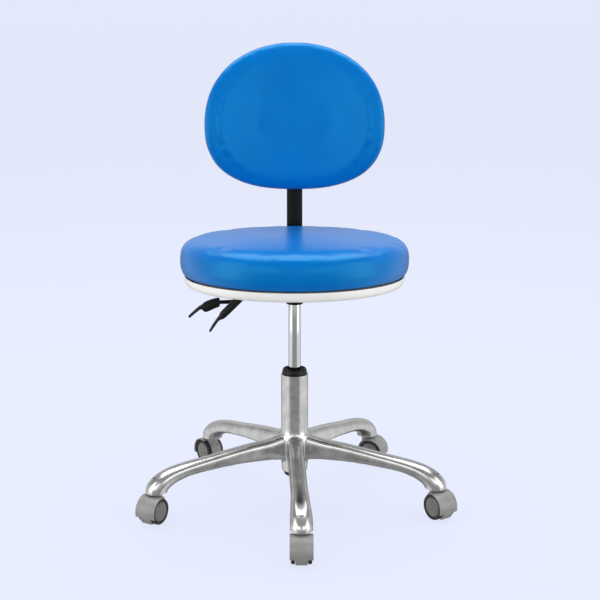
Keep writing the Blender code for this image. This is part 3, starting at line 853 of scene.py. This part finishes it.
bar = {
    "pivotV": 0.098,
    "pivotW": -0.019,
    "width": 0.032,
    "thickness": 0.006,
    "bendV": 0.2085,
    "bend": 0.030,
    "lean": 3.0,
    "rise": 0.378,
    "backRise": 0.290,
}
barPlace = seatPlace @ Matrix.Translation((0, bar["pivotV"], bar["pivotW"]))


def barPoint(rise):
    angle = radians(90 - bar["lean"])
    rearward = bar["bendV"] - bar["pivotV"] + bar["bend"] * sin(angle) + rise * cos(angle)
    return rearward, bar["bend"] * (1 - cos(angle)) + rise * sin(angle)


def makeBar():
    half, thick, turn = bar["width"] / 2, bar["thickness"] / 2, 90 - bar["lean"]
    run = bar["bendV"] - bar["pivotV"]
    strip = block("uprightBar", (-half, 0.004, -thick), (half, run, thick))
    edit(strip)
    pick(lambda middle, normal: normal.y > 0.9)
    # spin turns the other way about its axis, so a negative turn lifts the free end
    bpy.ops.mesh.spin(steps=16, angle=-radians(turn), center=(0, run, bar["bend"]), axis=(1, 0, 0))
    along = Vector((0, cos(radians(turn)), sin(radians(turn))))
    bpy.ops.mesh.extrude_region_move(TRANSFORM_OT_translate={"value": along * bar["rise"]})
    bpy.ops.mesh.select_all(action="SELECT")
    bpy.ops.mesh.remove_doubles(threshold=0.00001)
    bpy.ops.mesh.normals_make_consistent(inside=False)
    top = Vector((0, *barPoint(bar["rise"])))

    def topCorner(middle, direction):
        return (middle - top).length < half + 0.001 and abs(direction.x) < 0.1 and abs(direction.dot(along)) < 0.1

    pick(topCorner, "EDGE")
    bpy.ops.mesh.bevel(offset=0.012, segments=8)
    rest()
    softEdges(strip, 0.0010, 3, 40)
    barrel = softEdges(drum("barrel", (-0.020, 0, 0), (0.020, 0, 0), 0.0100, 48), 0.0008, 2, 40)
    cut(strip, barrel, operation="UNION")
    cut(strip, drum("pinHole", (-0.03, 0, 0), (0.03, 0, 0), 0.0054, 32))
    settle(place(strip, barPlace), powderBlack, "black_steel", "back_bar")


makeBar()
print("upright bar bent")


# under the seat: pressed housing, plate, pin and bolts

housing = {
    "halfX": 0.052,
    "front": -0.068,
    "rear": 0.115,
    "top": -0.0035,
    "bottom": -0.0345,
    "nose": -0.0205,  # its underside slopes down from here to the knee
    "knee": 0.012,
    "wall": 0.0025,
}
plate = {
    "half": 0.090,
    "bottom": -0.0032,
    "top": -0.0002,
    "bolts": (0.072, 0.070),
    "bolt": [
        (0, 0.0145),
        (0.0024, 0.0145),
        (0.0030, 0.0139),
        (0.0030, -0.0034),
        (0.0060, -0.0034),
        (0.0060, -0.0048),
        (0.0056, -0.0060),
        (0.0044, -0.0070),
        (0.0, -0.0072),
    ],
}


def makeHousing():
    h = housing
    pan = block("mechanismHousing", (-h["halfX"], h["front"], h["bottom"]), (h["halfX"], h["rear"], h["top"]))
    edit(pan)
    bpy.ops.mesh.bisect(plane_co=(0, h["knee"], 0), plane_no=(0, 1, 0))
    pick(lambda middle, normal: middle.y < h["front"] + 0.001 and middle.z < h["bottom"] + 0.001, "VERT")
    bpy.ops.transform.translate(value=(0, 0, h["nose"] - h["bottom"]))

    def foldLine(middle, direction):
        upright = abs(direction.z) > 0.9 and middle.y < 0
        return upright or (abs(direction.z) < 0.4 and middle.z < -0.02 and abs(middle.x) > 0.05)

    pick(foldLine, "EDGE")
    bpy.ops.mesh.bevel(offset=0.006, segments=5)
    pick(lambda middle, normal: normal.z > 0.9 or (normal.y > 0.9 and middle.y > h["rear"] - 0.001))
    bpy.ops.mesh.delete(type="FACE")
    rest()
    modify(pan, "SOLIDIFY", thickness=h["wall"], offset=-1)
    cut(
        pan,
        drum("socketHole", (0, 0.001, -0.060), (0, 0.001, -0.020), 0.0200, 48),
        drum("pivotHole", *((x, bar["pivotV"], bar["pivotW"]) for x in (-0.07, 0.07)), 0.0053, 32),
        block("heightSlot", (-h["halfX"] - 0.01, -0.0065, -0.0235), (-h["halfX"] + 0.01, 0.0065, 0.01)),
        block("reclineSlot", (-h["halfX"] - 0.01, -0.0615, -0.0175), (-h["halfX"] + 0.01, -0.0485, 0.01)),
    )
    settle(place(pan, seatPlace), powderBlack, "black_steel", "mechanism_housing")


def makePlate():
    half, (boltX, boltV) = plate["half"], plate["bolts"]
    sheet = block("seatPlate", (-half, -half, plate["bottom"]), (half, half, plate["top"]))
    edit(sheet)
    pick(lambda middle, direction: abs(direction.z) > 0.9, "EDGE")
    bpy.ops.mesh.bevel(offset=0.014, segments=8)
    rest()
    for side in (-1, 1):
        for end in (-1, 1):
            foot, head = ((side * boltX, end * boltV, w) for w in (-0.01, 0.01))
            cut(sheet, drum("boltHole", foot, head, 0.0034, 24))
        for slotV in (-0.035, 0.035):  # lightening slots between the bolts
            low, high = ((side * boltX + sign * 0.004, slotV + sign * 0.014, sign * 0.01) for sign in (-1, 1))
            cut(sheet, block("slot", low, high))
    softEdges(sheet, 0.0005, 2, 40)
    settle(place(sheet, seatPlace), powderBlack, "black_steel", "seat_plate")
    bolt = turned("bolt", plate["bolt"], 32)
    cut(bolt, drum("hexSocket", (0, 0, -0.009), (0, 0, -0.0048), 0.0023, 6))
    for number, (side, end) in enumerate(((-1, -1), (1, -1), (-1, 1), (1, 1)), 1):
        spot = seatPlace @ Matrix.Translation((side * boltX, end * boltV, 0))
        settle(copied(bolt, f"seatBolt{number}", spot), zincSteel, "steel", f"seat_bolt_{number}")
    bpy.data.objects.remove(bolt)


makeHousing()
makePlate()
pin = softEdges(drum("reclinePin", (-0.056, 0, 0), (0.056, 0, 0), 0.0050, 40), 0.0008, 3, 40)
settle(place(pin, barPlace), zincSteel, "steel", "recline_pivot_pin")
print("mechanism fitted")


# seat: white moulded shell under a round tight pad

seat = {
    "pad": [  # radius, height, a little inside the finished pad
        (0.0, 0.0836),
        (0.0600, 0.0834),
        (0.1100, 0.0829),
        (0.1500, 0.0822),
        (0.1800, 0.0811),
        (0.1950, 0.0795),
        (0.2050, 0.0765),
        (0.2120, 0.0715),
        (0.2165, 0.0630),
        (0.2188, 0.0500),
        (0.2184, 0.0330),
        (0.2154, 0.0220),
        (0.2115, 0.0162),
        (0.2060, 0.0142),
        (0.1946, 0.0142),
        (0.1936, 0.0172),
        (0.0, 0.0172),
    ],
    "shell": [
        (0.0, 0.0010),
        (0.1480, 0.0010),
        (0.1530, -0.0002),
        (0.1590, -0.0028),
        (0.1650, -0.0039),
        (0.1720, -0.0042),
        (0.1950, -0.0042),
        (0.2000, -0.0036),
        (0.2040, -0.0018),
        (0.2066, 0.0012),
        (0.2082, 0.0052),
        (0.2090, 0.0100),
        (0.2090, 0.0132),
        (0.2086, 0.0139),
        (0.2076, 0.0140),
        (0.2066, 0.0136),
        (0.2057, 0.0090),
        (0.2040, 0.0040),
        (0.2015, 0.0008),
        (0.1980, -0.0008),
        (0.1930, -0.0012),
        (0.1720, -0.0012),
        (0.1650, -0.0006),
        (0.1590, 0.0006),
        (0.1530, 0.0032),
        (0.1480, 0.0042),
        (0.0, 0.0042),
    ],
    "board": [
        (0, 0.0045),
        (0.1912, 0.0045),
        (0.1920, 0.0053),
        (0.1920, 0.0157),
        (0.1912, 0.0165),
        (0, 0.0165),
    ],
    "voxel": 0.0048,
    "cap": 0.0022,
}


def puffed(pad, voxel, cap, resting):
    # blows the pad up against its cover, holding what rests on the board
    modify(pad, "REMESH", mode="VOXEL", voxel_size=voxel)
    start = [vert.co.copy() for vert in pad.data.vertices]
    only(pad)
    cloth = pad.modifiers.new("Cloth", "CLOTH")
    cloth.settings.use_pressure = True
    cloth.settings.uniform_pressure_force = 4
    cloth.settings.quality = 5
    cloth.settings.effector_weights.gravity = 0
    for step in range(1, 21):
        bpy.context.scene.frame_set(step)
    bpy.ops.object.modifier_apply(modifier=cloth.name)
    bpy.context.scene.frame_set(1)
    for vert, was in zip(pad.data.vertices, start):
        move = vert.co - was
        if resting(was):
            move = Vector()
        elif move.length > cap:
            move *= cap / move.length
        vert.co = was + move
    for _ in range(12):  # evens the cover out without shrinking it
        modify(pad, "SMOOTH", factor=0.5, iterations=1)
        modify(pad, "SMOOTH", factor=-0.52, iterations=1)
    modify(pad, "SUBSURF", levels=1, render_levels=1)
    return pad


def makeSeat():
    pad = turned("seatPad", seat["pad"], 96)
    puffed(pad, seat["voxel"], seat["cap"], lambda spot: spot.z < 0.0190 and spot.xy.length < 0.200)
    settle(place(pad, seatPlace), vinyl, "blue_vinyl", "seat_cushion", smooth=80)
    shell = turned("seatShell", seat["shell"], 128)
    settle(place(shell, seatPlace), shellAbs, "white_abs", "seat_shell", smooth=50)
    board = turned("seatBoard", seat["board"], 96)
    settle(place(board, seatPlace), plywood, "plywood", "seat_board")


makeSeat()
print("seat upholstered")


# backrest, on a frame whose z runs up the bar and y rearward

back = {
    "halfWidth": 0.1815,
    "above": 0.1660,
    "below": 0.1330,
    "wrap": 0.55,  # radius that the pad bends round the sitter
    "pad": [  # share of the outline, y
        (0.0, -0.0306),
        (0.60, -0.0306),
        (0.89, -0.0307),
        (0.935, -0.0320),
        (0.965, -0.0358),
        (0.985, -0.0420),
        (0.993, -0.0495),
        (0.985, -0.0570),
        (0.962, -0.0625),
        (0.925, -0.0656),
        (0.860, -0.0671),
        (0.700, -0.0679),
        (0.400, -0.0685),
        (0.0, -0.0688),
    ],
    "shell": [
        (0.0, -0.0166),
        (0.60, -0.0168),
        (0.840, -0.0172),
        (0.885, -0.0180),
        (0.915, -0.0202),
        (0.930, -0.0235),
        (0.935, -0.0290),
        (0.933, -0.0300),
        (0.918, -0.0300),
        (0.914, -0.0260),
        (0.900, -0.0226),
        (0.870, -0.0202),
        (0.60, -0.0197),
        (0.0, -0.0196),
    ],
    "board": [(0.0, -0.0304), (0.85, -0.0304), (0.85, -0.0201), (0.0, -0.0201)],
    "voxel": 0.0042,
    "cap": 0.0020,
}
rearward, up = barPoint(bar["backRise"])
backPlace = barPlace @ Matrix.Translation((0, rearward, up)) @ Matrix.Rotation(radians(-bar["lean"]), 4, "X")


def outlinePoint(c, s):
    reach, power = (back["above"], 2.15) if s > 0 else (back["below"], 2.5)
    size = (abs(c / back["halfWidth"]) ** power + abs(s / reach) ** power) ** (-1 / power)
    return c * size, s * size - (back["above"] - back["below"]) / 2


def ovalPiece(name, profile, steps):
    # turned as a round disc, then every ring is moved out to the oval and wrapped
    piece = turned(name, profile, steps)
    for vert in piece.data.vertices:
        share, y = vert.co.xy.length, vert.co.z
        c, s = (vert.co.x / share, vert.co.y / share) if share > 0.001 else (1, 0)
        x, z = outlinePoint(c, s)
        x, z = x * share, z * share
        vert.co = (x, y - x * x / (2 * back["wrap"]), z)
    edit(piece)
    bpy.ops.mesh.normals_make_consistent(inside=False)
    rest()
    return piece


def makeBackrest():
    pad = ovalPiece("backPad", back["pad"], 96)
    puffed(pad, back["voxel"], back["cap"], lambda spot: spot.y + spot.x**2 / (2 * back["wrap"]) > -0.0316)
    settle(place(pad, backPlace), vinyl, "blue_vinyl", "back_cushion", smooth=80)
    shell = ovalPiece("backShell", back["shell"], 128)
    settle(place(shell, backPlace), shellAbs, "white_abs", "back_shell", smooth=50)
    board = ovalPiece("backBoard", back["board"], 96)
    settle(place(board, backPlace), plywood, "plywood", "back_board")


bracket = {
    "body": ((-0.024, -0.0130, -0.050), (0.024, 0.0100, 0.050)),
    "flange": ((-0.046, -0.0160, -0.035), (0.046, -0.0120, 0.035)),
    "slot": ((-0.0165, -0.0034, -0.06), (0.0165, 0.0034, 0.06)),
    "screwX": 0.036,
    "scallops": 8,
    "knob": [
        (0, 0.0300),
        (0.0080, 0.0300),
        (0.0150, 0.0297),
        (0.0178, 0.0286),
        (0.0190, 0.0265),
        (0.0190, 0.0225),
        (0.0180, 0.0160),
        (0.0172, 0.0135),
        (0.0090, 0.0122),
        (0.0086, 0.0105),
        (0.0030, 0.0105),
        (0.0030, 0.0036),
        (0, 0.0036),
    ],
    "screw": [
        (0, 0.0160),
        (0.0016, 0.0159),
        (0.0030, 0.0154),
        (0.0042, 0.0142),
        (0.0045, 0.0130),
        (0.0044, 0.0123),
        (0.0020, 0.0123),
        (0.0020, -0.0012),
        (0.0012, -0.0020),
        (0, -0.0020),
    ],
}


def makeBracket():
    clamp = block("backBracket", *bracket["body"])
    edit(clamp)
    pick(lambda middle, direction: abs(direction.y) > 0.9 or (abs(direction.z) > 0.9 and middle.y > 0), "EDGE")
    bpy.ops.mesh.bevel(offset=0.005, segments=5)
    rest()
    flange = block("flange", *bracket["flange"])
    edit(flange)
    pick(lambda middle, direction: abs(direction.y) > 0.9, "EDGE")
    bpy.ops.mesh.bevel(offset=0.010, segments=6)
    rest()
    cut(clamp, flange, operation="UNION")
    cut(clamp, block("barSlot", *bracket["slot"]))
    cut(clamp, drum("studHole", (0, 0, 0), (0, 0.02, 0), 0.0034, 24))
    softEdges(clamp, 0.0009, 2, 40)
    settle(place(clamp, backPlace), blackNylon, "black_plastic", "back_bracket")
    knob = turned("clampKnob", bracket["knob"], 80)
    for number in range(bracket["scallops"]):  # finger scallops round the rim
        angle = 2 * pi * (number + 0.5) / bracket["scallops"]
        spot = Vector((cos(angle), sin(angle), 0)) * 0.0222
        cut(knob, drum("scallop", spot + Vector((0, 0, 0.0127)), spot + Vector((0, 0, 0.0400)), 0.0052, 24))
    softEdges(knob, 0.0006, 2, 40)
    turn = Matrix.Rotation(radians(-90), 4, "X")
    settle(place(knob, backPlace @ turn), blackNylon, "black_plastic", "height_knob")
    screw = turned("screw", bracket["screw"], 32)
    for x, y in ((0.0022, 0.0005), (0.0005, 0.0022)):  # cross recess
        cut(screw, block("cross", (-x, -y, 0.0146), (x, y, 0.0180)))
    for number, side in ((1, -1), (2, 1)):
        spot = backPlace @ Matrix.Translation((side * bracket["screwX"], -0.0240, 0)) @ turn
        settle(copied(screw, f"bracketScrew{number}", spot), zincSteel, "steel", f"bracket_screw_{number}")
    bpy.data.objects.remove(screw)


makeBackrest()
makeBracket()
print("backrest upholstered")


# parts that keep their own shape

keptFinish = {
    "gas_tube": powderBlack,
    "gas_piston_rod": chrome,
    "gas_thrust_bearing": oiledSteel,
    "gas_damper": rubber,
    "gas_retaining_clip": oiledSteel,
    "gas_release_pin": zincSteel,
    "recline_spring": oiledSteel,
}
for name, finish in keptFinish.items():
    node = frame["nodes"][name]
    node.data.materials.clear()
    node.data.materials.append(finish)


# studio

studio = {
    "floor": "e6ebfe",
    "floorGlow": 0.905,  # the sheet is lit from below, so that it stays even
    "room": "f6f6f8",
    "roomLevels": (0.40, 0.72, 0.40),  # brightness below eye level, at it and overhead
    "wallLevel": 0.62,  # what the side walls add below eye level
    "lamps": [  # name, place, size, power
        ("frontLeft", (-1.50, -2.75, 1.10), (2.0, 1.0), 10),
        ("frontRight", (1.50, -2.75, 1.10), (2.0, 1.0), 10),
        ("sideLeft", (-2.45, -1.15, 0.90), (1.5, 2.2), 22),
        ("sideRight", (2.45, -1.15, 0.90), (1.5, 2.2), 22),
        ("overhead", (0.0, 0.6, 3.3), (4.2, 3.0), 125),
    ],
    "camera": (column["x"], column["y"] - 2.52, 1.0136),
    "pitch": 13.50,
    "lens": 81.46,
    "shift": 0.009,
}


def makeFloor():
    rest()
    bpy.ops.mesh.primitive_circle_add(vertices=96, radius=90, fill_type="NGON", location=(0, 0, 0))
    floor = bpy.context.object
    floor.name = "studioFloor"
    floor.visible_glossy = False  # metals mirror the dim room under them, not the sheet
    floor.visible_diffuse = False  # and the sheet's glow doesn't fill the undersides
    paper = bpy.data.materials.new("lightTableAcrylic")
    paper.use_nodes = True
    tree = paper.node_tree
    shader = tree.nodes["Principled BSDF"]
    spot = add(tree, "TexCoord").outputs["Object"]
    haze = add(tree, "TexNoise", {"Scale": 1.5, "Detail": 2}, {"Vector": spot})
    dull = add(tree, "MapRange", {3: 0.75, 4: 0.85}, {0: haze.outputs["Fac"]})
    tree.links.new(dull.outputs[0], shader.inputs["Roughness"])
    red, green, blue, full = shade(studio["floor"])
    shader.inputs["Base Color"].default_value = (red * 0.08, green * 0.08, blue * 0.08, full)
    shader.inputs["Emission Color"].default_value = (red, green, blue, full)
    shader.inputs["Emission Strength"].default_value = studio["floorGlow"]
    shader.inputs["Specular IOR Level"].default_value = 0.1
    floor.data.materials.append(paper)


def makeStudio():
    makeFloor()
    aim = Vector((column["x"], column["y"], 0.45))
    for name, spot, size, power in studio["lamps"]:
        bpy.ops.object.light_add(type="AREA", location=spot)
        lamp = bpy.context.object
        lamp.name = name
        lamp.data.shape = "RECTANGLE"
        lamp.data.size, lamp.data.size_y = size
        lamp.data.energy = power
        lamp.rotation_euler = (aim - Vector(spot)).to_track_quat("-Z", "Y").to_euler()
    world = bpy.data.worlds.new("paleRoom")
    world.use_nodes = True
    tree = world.node_tree
    facing = add(tree, "SeparateXYZ", links={"Vector": add(tree, "TexCoord").outputs["Generated"]}).outputs
    low, high, top = studio["roomLevels"]
    soft = {"interpolation_type": "SMOOTHSTEP"}
    level = add(tree, "MapRange", {1: -0.12, 2: 0.05, 3: low, 4: high, **soft}, {0: facing["Z"]})
    dim = add(tree, "MapRange", {1: 0.30, 2: 0.52, 3: 0.0, 4: high - top, **soft}, {0: facing["Z"]})
    level = add(tree, "Math", {"operation": "SUBTRACT"}, {0: level.outputs[0], 1: dim.outputs[0]})
    across = add(tree, "Math", {"operation": "ABSOLUTE"}, {0: facing["X"]})
    wall = add(tree, "MapRange", {1: 0.58, 2: 0.72, 3: 0.0, 4: studio["wallLevel"], **soft}, {0: across.outputs[0]})
    under = add(tree, "MapRange", {1: -0.12, 2: 0.05, 3: 1.0, 4: 0.0}, {0: facing["Z"]})
    shares = {0: wall.outputs[0], 1: under.outputs[0], 2: level.outputs[0]}
    glow = add(tree, "Math", {"operation": "MULTIPLY_ADD"}, shares)
    backdrop = tree.nodes["Background"]
    backdrop.inputs["Color"].default_value = shade(studio["room"])
    tree.links.new(glow.outputs[0], backdrop.inputs["Strength"])
    bpy.context.scene.world = world
    bpy.context.scene.view_settings.view_transform = "Standard"
    bpy.ops.object.camera_add(location=studio["camera"], rotation=(radians(90 - studio["pitch"]), 0, 0))
    camera = bpy.context.object
    camera.data.lens = studio["lens"]
    camera.data.shift_x = studio["shift"]
    bpy.context.scene.camera = camera


makeStudio()
print("studio lit")

rest()
